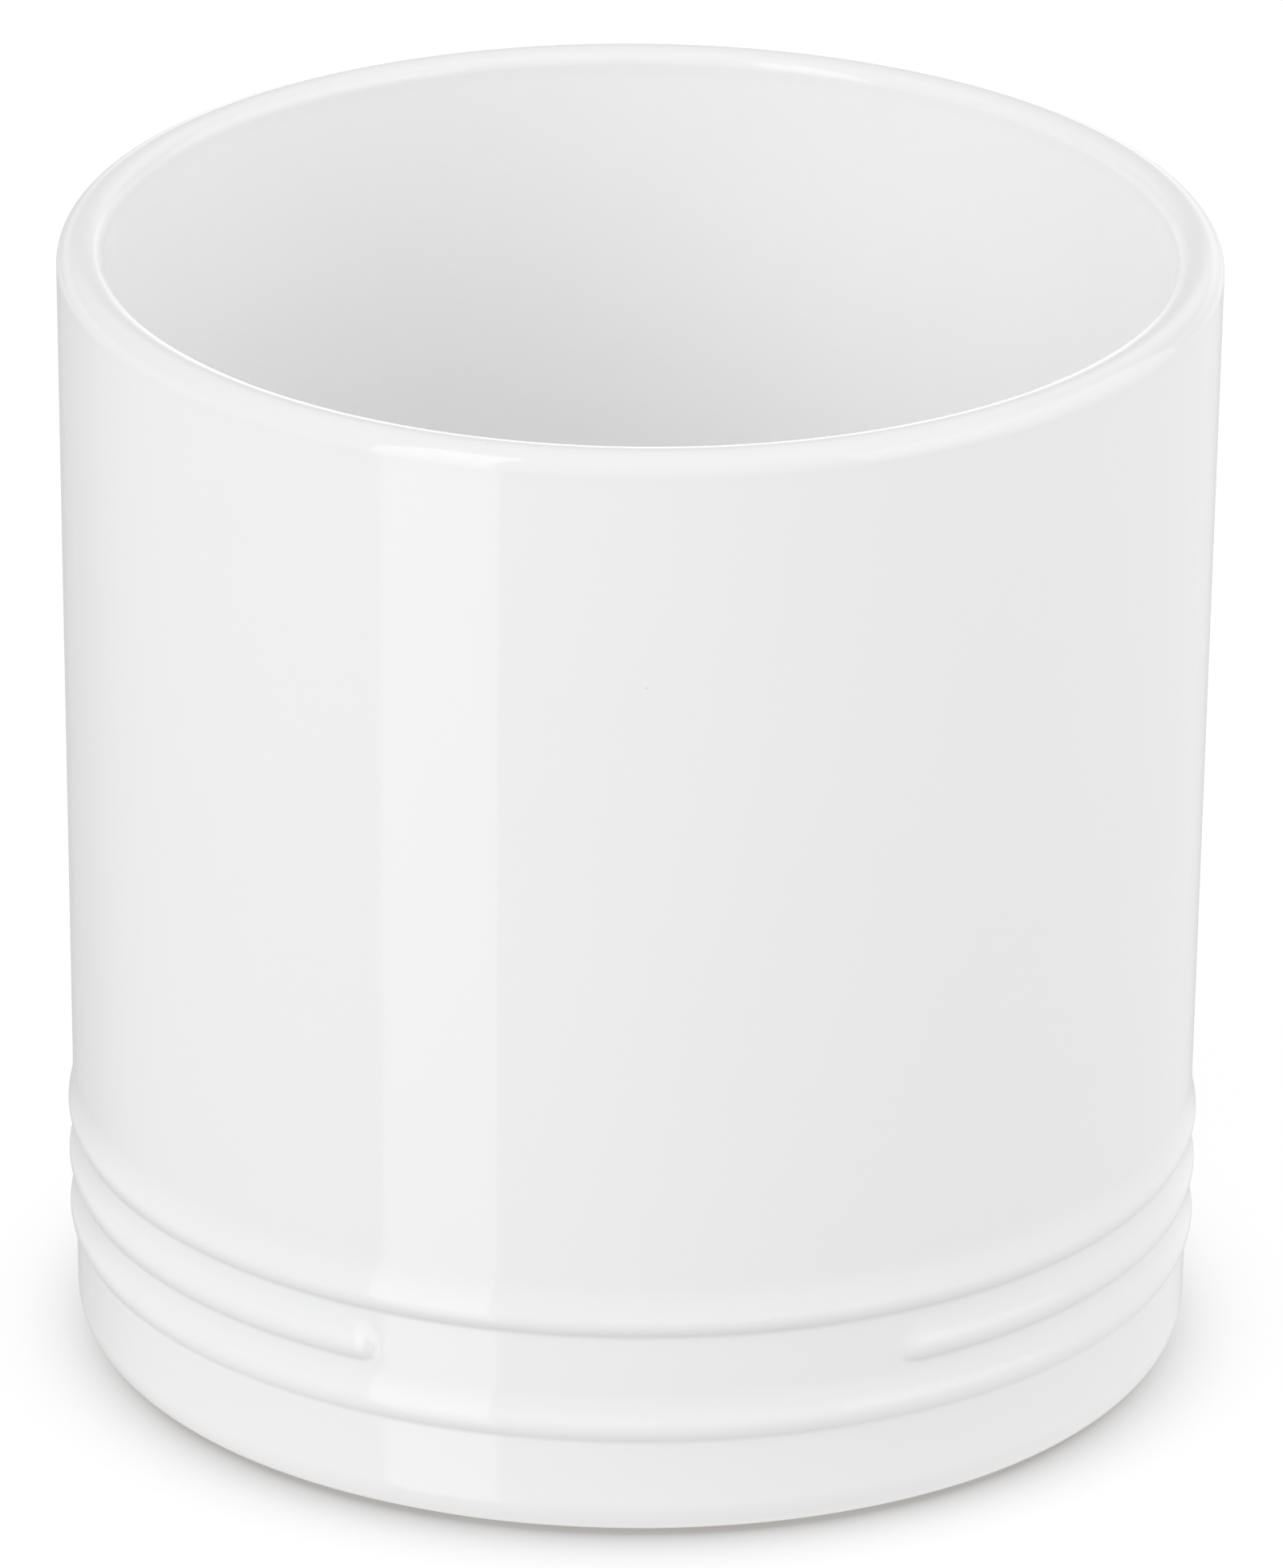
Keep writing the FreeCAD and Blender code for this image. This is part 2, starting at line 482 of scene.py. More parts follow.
    def base(self) -> list[Place]:
        """The outline from the axis under the base to the lowest crease."""
        base_corner = self.base_radius + self.crease_offset / math.cos(self.draft)
        foot_corner = base_corner - self.base_edge_round - self.foot_ring_width
        corners = [
            (Vector((0.0, self.recess_depth)), 0.0),
            (Vector((foot_corner - self.recess_taper, self.recess_depth)), self.recess_edge_round),
            (Vector((foot_corner, 0.0)), self.recess_edge_round),
            (Vector((base_corner, 0.0)), self.base_edge_round),
            (self.bead(0)[0].point, 0.0),
        ]
        runs = [LONG_RUN, SHORT_RUN, LONG_RUN, LONG_RUN]
        steps = [RECESS_STEPS, RECESS_STEPS, BASE_EDGE_STEPS]
        return self.rounded(corners, steps, runs, [self.pooled_in_recess, 0.0, 0.0])

    def upper(self) -> tuple[list[Place], list[Place]]:
        """The outline above the beads, parted where the coats meet on the rim.

        Returns:
            The places from the beads' top to the rim, and those from there to the inside floor's middle.
        """
        floor_corner = self.base_radius - self.wall_thickness + self.floor_height * math.tan(self.draft)
        corners = [
            (self.bead(self.bead_count - 1)[-1].point, 0.0),
            *self.rim_corners(),
            (Vector((floor_corner, self.floor_height)), self.inside_floor_round),
            (Vector((0.0, self.floor_height)), 0.0),
        ]
        runs = [LONG_RUN, ENDS, ENDS, LONG_RUN, LONG_RUN]
        steps = [RIM_OUTER_STEPS, RIM_CROWN_STEPS, RIM_INNER_STEPS, INSIDE_FLOOR_STEPS]
        depths = [0.0, 0.0, 0.0, self.pooled_on_floor]
        # Towards the rim's top the glaze thins, and the same share darkens it as painted shade
        start, end = self.thin_and_shaded_from
        whole = []
        for place in self.rounded(corners, steps, runs, depths):
            thin_and_shaded = min(1.0, max(0.0, (place.point.y - self.height + start) / (start - end)))
            whole.append(replace(place, depth=place.depth + self.thin_and_shaded_at_rim * thin_and_shaded))

        def from_seam(index: int) -> float:
            """How far a place lies from where the coats meet."""
            point = whole[index].point
            return abs(point.x - self.rim_middle) + self.height - point.y

        seam = min(range(len(whole)), key=from_seam)
        return whole[: seam + 1], whole[seam:]


def tidy(places: Sequence[Place], closest: float = 1e-6) -> list[Place]:
    """Drops each place that repeats the one before it.

    Args:
        places: the places in order.
        closest: how near counts as the same.

    Returns:
        The places that are left.
    """
    kept = [places[0]]
    for place in places[1:]:
        if (place.point - kept[-1].point).length > closest:
            kept.append(place)
    return kept


def split_at(places: Sequence[Place], height: float) -> tuple[list[Place], list[Place]]:
    """Parts an outline where it first crosses a height.

    Args:
        places: the places in order.
        height: the height of the cut.

    Returns:
        The places up to the cut and those from it on, both with the cut itself.
    """
    for index, (first, second) in enumerate(zip(places, places[1:])):
        if (first.point.y - height) * (second.point.y - height) <= 0 and first.point.y != second.point.y:
            cut = between(first, second, (height - first.point.y) / (second.point.y - first.point.y))
            return tidy([*places[: index + 1], cut]), tidy([cut, *places[index + 1 :]])
    raise ValueError("the outline doesn't cross that height")


# Turning the outline


class TurnedPiece:
    """The node tree that turns an outline into a piece, with its plain panel and its wiped edge."""

    WANDER_SCALE = 6.0
    WANDER_DETAIL = 3.0
    SAME_SPOT = 1e-6

    def __init__(self, panel_angle: float, end_length: float, end_radius: float) -> None:
        """Builds the tree.

        Args:
            panel_angle: the angle between the two ends of the bead that stops at the panel.
            end_length: how far each round end of that bead runs into the panel.
            end_radius: the round of that end, below the panel.
        """
        self.tree = bpy.data.node_groups.new("turned_piece", "GeometryNodeTree")
        self.values: dict[str, Any] = {
            "Panel Angle": panel_angle,
            "End Length": end_length,
            "End Radius": end_radius,
        }
        kinds = {
            "Geometry": "NodeSocketGeometry",
            "Segments": "NodeSocketInt",
            "Edge Wander": "NodeSocketFloat",
            "Finish": "NodeSocketMaterial",
        } | {name: "NodeSocketFloat" for name in self.values}
        self.keys = {
            name: self.tree.interface.new_socket(name, in_out="INPUT", socket_type=kind).identifier
            for name, kind in kinds.items()
        }
        self.tree.interface.new_socket("Geometry", in_out="OUTPUT", socket_type="NodeSocketGeometry")
        self.build()

    def build(self) -> None:
        """Adds the tree's nodes."""
        net = Net(self.tree)
        given = net.node("NodeGroupInput")
        outline = given.port("Geometry")
        segments = given.port("Segments")

        # A sheet with a column for each step round the axis and a row for each place on the outline
        rows = net.node("GeometryNodeAttributeDomainSize", {}, {"Geometry": outline}, "Point Count")
        sheet = net.node(
            "GeometryNodeMeshGrid",
            {},
            {"Size X": segments, "Size Y": rows - 1, "Vertices X": segments + 1, "Vertices Y": rows},
            "Mesh",
        )
        corner = net.node("ShaderNodeSeparateXYZ", {}, {0: net.node("GeometryNodeInputPosition")})
        turn = corner.port("X") / segments
        row = net.math("ROUND", corner.port("Y") + (rows - 1) / 2)

        def on_outline(value: Wire, kind: str) -> Wire:
            """A value of the outline at this corner's row."""
            settings = {"data_type": kind, "domain": "POINT"}
            sockets = {"Geometry": outline, "Value": value, "Index": row}
            return net.node("GeometryNodeSampleIndex", settings, sockets)

        def named(name: str, kind: str = "FLOAT") -> Wire:
            """A named value of the outline at this corner's row."""
            stored = net.node("GeometryNodeInputNamedAttribute", {"data_type": kind}, {"Name": name})
            return on_outline(stored, kind)

        point = on_outline(net.node("GeometryNodeInputPosition"), "FLOAT_VECTOR")
        place = net.node("ShaderNodeSeparateXYZ", {}, {0: point})
        rise = named(RISE)
        slide = net.node("ShaderNodeSeparateXYZ", {}, {0: named(SLIDE, "FLOAT_VECTOR")})

        # Past its end, the bead that stops turns down into the panel on a round
        from_front = net.math("ABSOLUTE", turn) * math.tau
        past = net.math("MAXIMUM", given.port("Panel Angle") / 2 - from_front, 0.0) * place.port("X")
        end_radius = given.port("End Radius")
        reach = end_radius + rise
        left = net.math("SQRT", net.math("MAXIMUM", reach * reach - past * past, 0.0))
        sunk = rise - net.math("MAXIMUM", left - end_radius, 0.0)

        # The wiped edge wanders a little
        angle = turn * math.tau - math.pi / 2
        round_x = net.math("COSINE", angle)
        round_y = net.math("SINE", angle)
        ring = net.node("ShaderNodeCombineXYZ", {}, {"X": round_x, "Y": round_y})
        noise = net.noise(ring, self.WANDER_SCALE, self.WANDER_DETAIL)
        wander = (noise - 0.5) * 2 * given.port("Edge Wander")
        radius = place.port("X") - sunk + slide.port("X") * wander
        height = place.port("Z") + slide.port("Z") * wander

        axes = {"X": radius * round_x, "Y": radius * round_y, "Z": height}
        spot = net.node("ShaderNodeCombineXYZ", {}, axes)
        ended = named(STOPS) * net.ease(past, 0.0, given.port("End Length"))
        depth = named(DEPTH) * (1 - ended)
        marked = net.node(
            "GeometryNodeStoreNamedAttribute",
            {"data_type": "FLOAT", "domain": "POINT"},
            {"Geometry": sheet, "Name": DEPTH, "Value": depth},
        )
        turned = net.node("GeometryNodeSetPosition", {}, {"Geometry": marked, "Position": spot})
        closed = net.node(
            "GeometryNodeMergeByDistance", {}, {"Geometry": turned, "Distance": self.SAME_SPOT}
        )
        smooth = net.node("GeometryNodeSetShadeSmooth", {}, {"Geometry": closed})
        real = net.node("GeometryNodeRealizeInstances", {}, {"Geometry": smooth})
        dressed = net.node(
            "GeometryNodeSetMaterial", {}, {"Geometry": real, "Material": given.port("Finish")}
        )
        net.node("NodeGroupOutput", {}, {"Geometry": dressed})

    def make(
        self,
        name: str,
        places: Sequence[Place],
        segments: int,
        finish: bpy.types.Material,
        edge_wander: float = 0.0,
        sharp: float = math.radians(40),
    ) -> bpy.types.Object:
        """Turns an outline into a closed mesh.

        Args:
            name: the piece's name.
            places: the outline, whose ends meet each other or lie on the axis.
            segments: how many steps go round the axis.
            finish: the piece's material.
            edge_wander: how far the wiped edge wanders.
            sharp: the angle from which an edge stays sharp.

        Returns:
            The piece.
        """
        outline = bpy.data.meshes.new(name + "_outline")
        edges = [(index, index + 1) for index in range(len(places) - 1)]
        outline.from_pydata([(place.point.x, 0.0, place.point.y) for place in places], edges, [])
        for name_of, values in {
            DEPTH: [place.depth for place in places],
            RISE: [place.rise for place in places],
            STOPS: [place.stops for place in places],
        }.items():
            outline.attributes.new(name_of, "FLOAT", "POINT").data.foreach_set("value", values)
        slides = outline.attributes.new(SLIDE, "FLOAT_VECTOR", "POINT")
        for place, slide in zip(places, slides.data):
            way = place.onward() * place.slide
            slide.vector = (way.x, 0.0, way.y)

        piece = bpy.data.objects.new(name, outline)
        bpy.context.scene.collection.objects.link(piece)
        turning = piece.modifiers.new("turning", "NODES")
        turning.node_group = self.tree
        given = self.values | {"Segments": segments, "Edge Wander": edge_wander, "Finish": finish}
        for key, value in given.items():
            turning[self.keys[key]] = value
        seen = piece.evaluated_get(bpy.context.evaluated_depsgraph_get())
        mesh = bpy.data.meshes.new_from_object(seen)
        piece.modifiers.clear()
        piece.data = mesh
        bpy.data.meshes.remove(outline)
        mesh.name = name
        mesh.set_sharp_from_angle(angle=sharp)
        return piece


# Finishes


def new_material(name: str) -> tuple[bpy.types.Material, Net]:
    """Makes a material.

    Args:
        name: its name.

    Returns:
        The material, and its emptied node tree.
    """
    material = bpy.data.materials.new(name)
    material.use_nodes = True
    return material, Net(material.node_tree)


@dataclass(frozen=True)
class GlazeFinish:
    """Glossy white glaze, a little cooler where it pools, and greyer where it thins, which on the rim is
    also painted shade.
    """

    name: str
    white: Colour = (0.93, 0.93, 0.93, 1.0)
    pooled: Colour = (0.925, 0.928, 0.928, 1.0)
    # The thinned glaze's colour, also used as painted shade on the rim
    thin_and_shaded: Colour = (0.88, 0.88, 0.878, 1.0)
    cloud: Colour = (0.924, 0.926, 0.926, 1.0)
    cloud_range: Span = (0.4, 0.75)
    swell_scale: float = 38.0
    waviness: float = 0.000012
    grain_scale: float = 520.0
    peel: float = 0.0000012
    pinhole: Colour = (0.74, 0.73, 0.71, 1.0)
    pinhole_tint: float = 0.6
    pinhole_scale: float = 95.0
    pinhole_size: Span = (0.012, 0.02)
    pinhole_share: float = 0.07
    pinhole_depth: float = 0.00006
    pinhole_roughness: float = 0.2
    roughness: float = 0.025
    roughness_spread: float = 0.02
    roughness_scale: float = 90.0
    refraction: float = 1.5

    def material(self) -> bpy.types.Material:
        """Builds the material.

        Returns:
            The material.
        """
        material, net = new_material(self.name)
        spot = net.node("ShaderNodeTexCoord", {}, {}, "Object")
        depth = net.node("ShaderNodeAttribute", {"attribute_name": DEPTH}, {}, "Fac")
        swell = net.noise(spot, self.swell_scale)
        grain = net.noise(spot, self.grain_scale)
        pinhole = net.flecks(spot, self.pinhole_scale, self.pinhole_size, self.pinhole_share)

        colour = net.blend(net.ease(swell, *self.cloud_range), self.white, self.cloud)
        colour = net.blend(net.math("MAXIMUM", depth, 0.0), colour, self.pooled)
        # Greyer where the glaze thins, which on the rim is also painted shade
        colour = net.blend(net.math("MAXIMUM", 0 - depth, 0.0), colour, self.thin_and_shaded)
        colour = net.blend(pinhole * self.pinhole_tint, colour, self.pinhole)
        roughness = self.roughness + net.noise(spot, self.roughness_scale) * self.roughness_spread
        roughness = roughness + pinhole * self.pinhole_roughness
        relief = swell * self.waviness + grain * self.peel - pinhole * self.pinhole_depth
        net.surface(colour, roughness, self.refraction, relief)
        return material


@dataclass(frozen=True)
class BareClayFinish:
    """Bare fired stoneware: matt buff clay with fine grog, and faint rings where the sponge went round."""

    name: str
    buff: Colour = (0.70, 0.635, 0.54, 1.0)
    toasted: Colour = (0.60, 0.50, 0.39, 1.0)
    toasted_range: Span = (0.35, 0.7)
    swell_scale: float = 60.0
    grain_scale: float = 2600.0
    grain_detail: float = 3.0
    grain_relief: float = 0.00004
    grog: Colour = (0.46, 0.40, 0.33, 1.0)
    grog_tint: float = 0.7
    grog_scale: float = 900.0
    grog_size: Span = (0.16, 0.3)
    grog_share: float = 0.2
    grog_relief: float = 0.00003
    ring_turns: float = 5200.0
    ring_wander: float = 9.0
    ring_tint: float = 0.12
    ring_relief: float = 0.000012
    roughness: float = 0.72
    roughness_spread: float = 0.2
    refraction: float = 1.45

    def material(self) -> bpy.types.Material:
        """Builds the material.

        Returns:
            The material.
        """
        material, net = new_material(self.name)
        spot = net.node("ShaderNodeTexCoord", {}, {}, "Object")
        axes = net.node("ShaderNodeSeparateXYZ", {}, {0: spot})
        around = net.math("SQRT", axes * axes + axes.port("Y") * axes.port("Y"))
        swell = net.noise(spot, self.swell_scale)
        grain = net.noise(spot, self.grain_scale, self.grain_detail)
        fleck = net.flecks(spot, self.grog_scale, self.grog_size, self.grog_share)
        rings = net.math("SINE", around * self.ring_turns + swell * self.ring_wander) * 0.5 + 0.5

        colour = net.blend(net.ease(swell, *self.toasted_range), self.buff, self.toasted)
        colour = net.blend(fleck * self.grog_tint, colour, self.grog)
        colour = net.blend(rings * self.ring_tint, colour, self.toasted)
        roughness = self.roughness + (grain - 0.5) * self.roughness_spread
        relief = grain * self.grain_relief + rings * self.ring_relief - fleck * self.grog_relief
        net.surface(colour, roughness, self.refraction, relief)
        return material


# The crock


class Coat(Enum):
    """The glaze coats, each named as its CAD node and its material slot."""

    OUTSIDE = "outside_glaze"
    INSIDE = "inside_glaze"
    UNDERSIDE = "underside_glaze"


@dataclass
class Crock:
    """The crock: a turned stoneware body, and glaze coats that stop at the wiped foot.

    A coat rises to its full thickness over edge_round, in edge_steps parts. The wiped line wanders, and
    the places after it go along by the shares in edge_fading. The clay is bare up to dry_reach times the
    line's height, and lies dry_step under the glaze's line where it has turned up by dry_turn. The hidden
    face of a coat keeps one place of each hidden_stride.
    """

    outline: CrockOutline = field(default_factory=CrockOutline)
    panel_angle: float = math.radians(59)
    bead_end_length: float = 0.0025
    glaze_thickness: float = 0.0004
    dry_foot_height: float = 0.0008
    dry_reach: float = 1.6
    dry_step: float = 0.0001
    dry_turn: float = 0.15
    edge_round: float = 0.0006
    edge_steps: int = 7
    edge_wander: float = 0.0003
    edge_fading: tuple[float, ...] = (0.7, 0.4, 0.15)
    segments: int = 520
    hidden_segments: int = 360
    hidden_stride: int = 4
    # A greyer copy of the glaze for the inside coat: painted shade that darkens the inside
    inside_shaded_white: Colour = (0.919, 0.919, 0.919, 1.0)
    inside_shaded_cloud: Colour = (0.913, 0.915, 0.915, 1.0)

    def __post_init__(self) -> None:
        """Parts the outline where the coats end."""
        base = tidy(self.outline.base())
        self.recess, rest = split_at(base, self.dry_foot_height)
        self.foot, band = split_at(rest[1:], self.dry_foot_height)
        outside, inside = self.outline.upper()
        self.outer = tidy(band + self.outline.beads() + outside)
        self.inner = tidy(inside)
        deep = self.outline.crease_depth
        end_radius = (self.bead_end_length**2 - deep**2) / (2 * deep)
        self.turning = TurnedPiece(self.panel_angle, self.bead_end_length, end_radius)

    def wiped_edge(self, places: Sequence[Place]) -> list[Place]:
        """Rounds off the start of a coat, where it was wiped.

        Args:
            places: the coat's surface, from the edge on.

        Returns:
            The surface, which now rises from the clay at its start.
        """
        edge: list[Place] = []
        gone = 0.0
        index = 0
        for step in range(self.edge_steps + 1):
            reach = self.edge_round * (1 - math.cos(math.pi / 2 * step / self.edge_steps))
            while index < len(places) - 2 and gone + self.gap(places, index) < reach:
                gone += self.gap(places, index)
                index += 1
            place = between(places[index], places[index + 1], (reach - gone) / self.gap(places, index))
            lack = 1 - reach / self.edge_round
            edge.append(place.inset(self.glaze_thickness * (1 - math.sqrt(1 - lack * lack)), 1.0))
        rest = list(places[index + 1 :])
        fading = [replace(place, slide=slide) for place, slide in zip(rest, self.edge_fading)]
        return tidy(edge + fading + rest[len(fading) :])

    @staticmethod
    def gap(places: Sequence[Place], index: int) -> float:
        """How far a place lies from the next."""
        return (places[index + 1].point - places[index].point).length

    def back_face(self, places: Sequence[Place]) -> list[Place]:
        """The hidden face of a coat, in reverse, with fewer places.

        Args:
            places: the coat's surface.

        Returns:
            The places of the hidden face.
        """
        last = len(places) - 1
        kept = [places[index] for index in range(last) if index % self.hidden_stride == 0]
        return [place.inset(self.glaze_thickness, place.slide) for place in (places[last], *reversed(kept))]

    def coat_places(self, coat: Coat) -> list[Place]:
        """The outline of a coat.

        Args:
            coat: which coat.

        Returns:
            The places, whose ends meet or lie on the axis.
        """
        if coat is Coat.OUTSIDE:
            surface = self.wiped_edge(self.outer)
            return [*surface, *self.back_face(self.outer[1:]), surface[0]]
        if coat is Coat.INSIDE:
            return [*self.inner, *self.back_face(self.inner), self.inner[0]]
        surface = list(reversed(self.wiped_edge(self.recess[::-1])))
        return [*surface, *self.back_face(self.recess[:-1])]

    def body_places(self) -> list[Place]:
        """The outline of the stoneware body, under the coats and flush with the foot.

        Returns:
            The places, whose ends lie on the axis.
        """
        places = []
        for place in tidy(self.recess + self.foot + self.outer + self.inner):
            low = place.point.y < self.dry_foot_height * self.dry_reach
            bare = low and place.point.x > self.outline.base_radius / 2
            step = self.dry_step * min(1.0, (1 + place.normal.y) / self.dry_turn)
            places.append(place.inset(step if bare else self.glaze_thickness))
        return places

    def make(self) -> None:
        """Makes the body and the coats, and says what each one replaces."""
        clay = BareClayFinish("bare_stoneware").material()
        body = self.turning.make("stoneware", self.body_places(), self.hidden_segments, clay)
        self.register(body, "stoneware_body", "stoneware")
        for coat in Coat:
            finish = GlazeFinish(coat.value + "_finish")
            # The inside coat gets the greyer copy of the glaze, as painted shade
            if coat is Coat.INSIDE:
                finish = replace(finish, white=self.inside_shaded_white, cloud=self.inside_shaded_cloud)
            glaze = finish.material()
            wander = 0.0 if coat is Coat.INSIDE else self.edge_wander
            segments = self.hidden_segments if coat is Coat.UNDERSIDE else self.segments
            piece = self.turning.make(coat.value + "_coat", self.coat_places(coat), segments, glaze, wander)
            self.register(piece, coat.value, coat.value)

    @staticmethod
    def register(piece: bpy.types.Object, node: str, slot: str) -> None:
        """Says which body a piece rides on and hides the CAD part that it replaces."""
        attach(piece, "root")
        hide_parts(node)
        LOG.info("%s: %d faces", piece.name, len(piece.data.polygons))


# The studio


@dataclass(frozen=True)
class PhotoCamera:
    """The camera, at the photograph's viewing angle."""

    frame_height: int = 1955
    focal_length: float = 23732.0
    distance: float = 2.6384
    elevation: float = math.radians(22.775)
    roll: float = math.radians(0.571)
    target: tuple[float, float, float] = (0.00086, 0.0, 0.07979)
    sensor: float = 36.0
    reach: float = 20.0

    def make(self) -> None:
        """Makes the camera and gives it to the scene."""
        data = bpy.data.cameras.new("photo_camera")
        data.sensor_width = self.sensor
        data.lens = self.focal_length * self.sensor / self.frame_height
        data.clip_end = self.reach
        camera = bpy.data.objects.new("photo_camera", data)
        bpy.context.scene.collection.objects.link(camera)
        back = Vector((0.0, -math.cos(self.elevation), math.sin(self.elevation)))
        right = Vector((1.0, 0.0, 0.0))
        up = Vector((0.0, math.sin(self.elevation), math.cos(self.elevation)))
        across = right * math.cos(self.roll) + up * math.sin(self.roll)
        upward = up * math.cos(self.roll) - right * math.sin(self.roll)
        turned = Matrix((across, upward, back)).transposed().to_4x4()
        placed = Matrix.Translation(Vector(self.target) + back * self.distance) @ turned
        camera.matrix_world = Matrix.Rotation(VIEW_TURN, 4, "Z") @ placed
        bpy.context.scene.camera = camera


def ring_corners(radius: float, height: float, steps: int) -> list[Vector]:
    """The corners of a level ring round the axis."""
    turns = [math.tau * step / steps for step in range(steps)]
    return [Vector((radius * math.cos(turn), radius * math.sin(turn), height)) for turn in turns]


def stage_mesh(
    name: str,
    corners: Sequence[Vector],
    faces: Sequence[tuple[int, ...]],
    material: bpy.types.Material,
    hidden_from: Iterable[str],
) -> None:
    """Adds a mesh to the studio.

    Args:
        name: its name.
        corners: its corners.
        faces: its faces, as places in the corners.
        material: its material.
        hidden_from: the kinds of ray that don't meet it.
    """
    mesh = bpy.data.meshes.new(name)
    mesh.from_pydata([tuple(corner) for corner in corners], [], faces)
    mesh.materials.append(material)
    thing = bpy.data.objects.new(name, mesh)
    bpy.context.scene.collection.objects.link(thing)
    for kind in hidden_from:
        setattr(thing, f"visible_{kind}", False)


@dataclass(frozen=True)
class LightCard:
    """An upright card of light, which faces the crock and shows only in its gloss.

    Attributes:
        name: the card's name.
        azimuth: where it stands, counted from the viewpoint towards the right.
        spread: the angle that it takes up.
        heights: its lowest and its highest height.
        light: how bright it is at the bottom and at the top.
        distance: how far from the axis it stands.
    """

    name: str
    azimuth: float
    spread: float
    heights: Span
    light: Span
    distance: float = 1.3

    def make(self) -> None:
        """Makes the card."""
        low, high = self.heights
        azimuth = self.azimuth + VIEW_TURN
        way = Vector((math.sin(azimuth), -math.cos(azimuth), 0.0))
        side = Vector((-way.y, way.x, 0.0)) * (self.distance * math.tan(self.spread / 2))
        middle = way * self.distance
        ends = ((-1, low), (1, low), (1, high), (-1, high))
        corners = [middle + side * end + Vector((0.0, 0.0, height)) for end, height in ends]

        material, net = new_material(self.name + "_light")
        spot = net.node("ShaderNodeTexCoord", {}, {}, "Object")
        height = net.node("ShaderNodeSeparateXYZ", {}, {0: spot}, "Z")
        glow = net.node("ShaderNodeEmission", {}, {"Strength": net.ease(height, low, high, *self.light)})
        net.node("ShaderNodeOutputMaterial", {}, {"Surface": glow})
        hidden_from = ("camera", "diffuse", "shadow", "transmission")
        stage_mesh(self.name, corners, [(3, 2, 1, 0)], material, hidden_from)


@dataclass(frozen=True)
class Glow:
    """A soft glow of the sky.

    Attributes:
        azimuth: where it lies in degrees, counted from the viewpoint towards the right.
        elevation: how high it lies, in degrees.
        strength: how bright its middle is.
        sharpness: how quickly it fades.
    """

    azimuth: float
    elevation: float
    strength: float
    sharpness: float = 6.0

    def way(self) -> Vector:
        """The direction towards it."""
        azimuth, elevation = math.radians(self.azimuth) + VIEW_TURN, math.radians(self.elevation)
        level = math.cos(elevation)
        return Vector((math.sin(azimuth) * level, -math.cos(azimuth) * level, math.sin(elevation)))


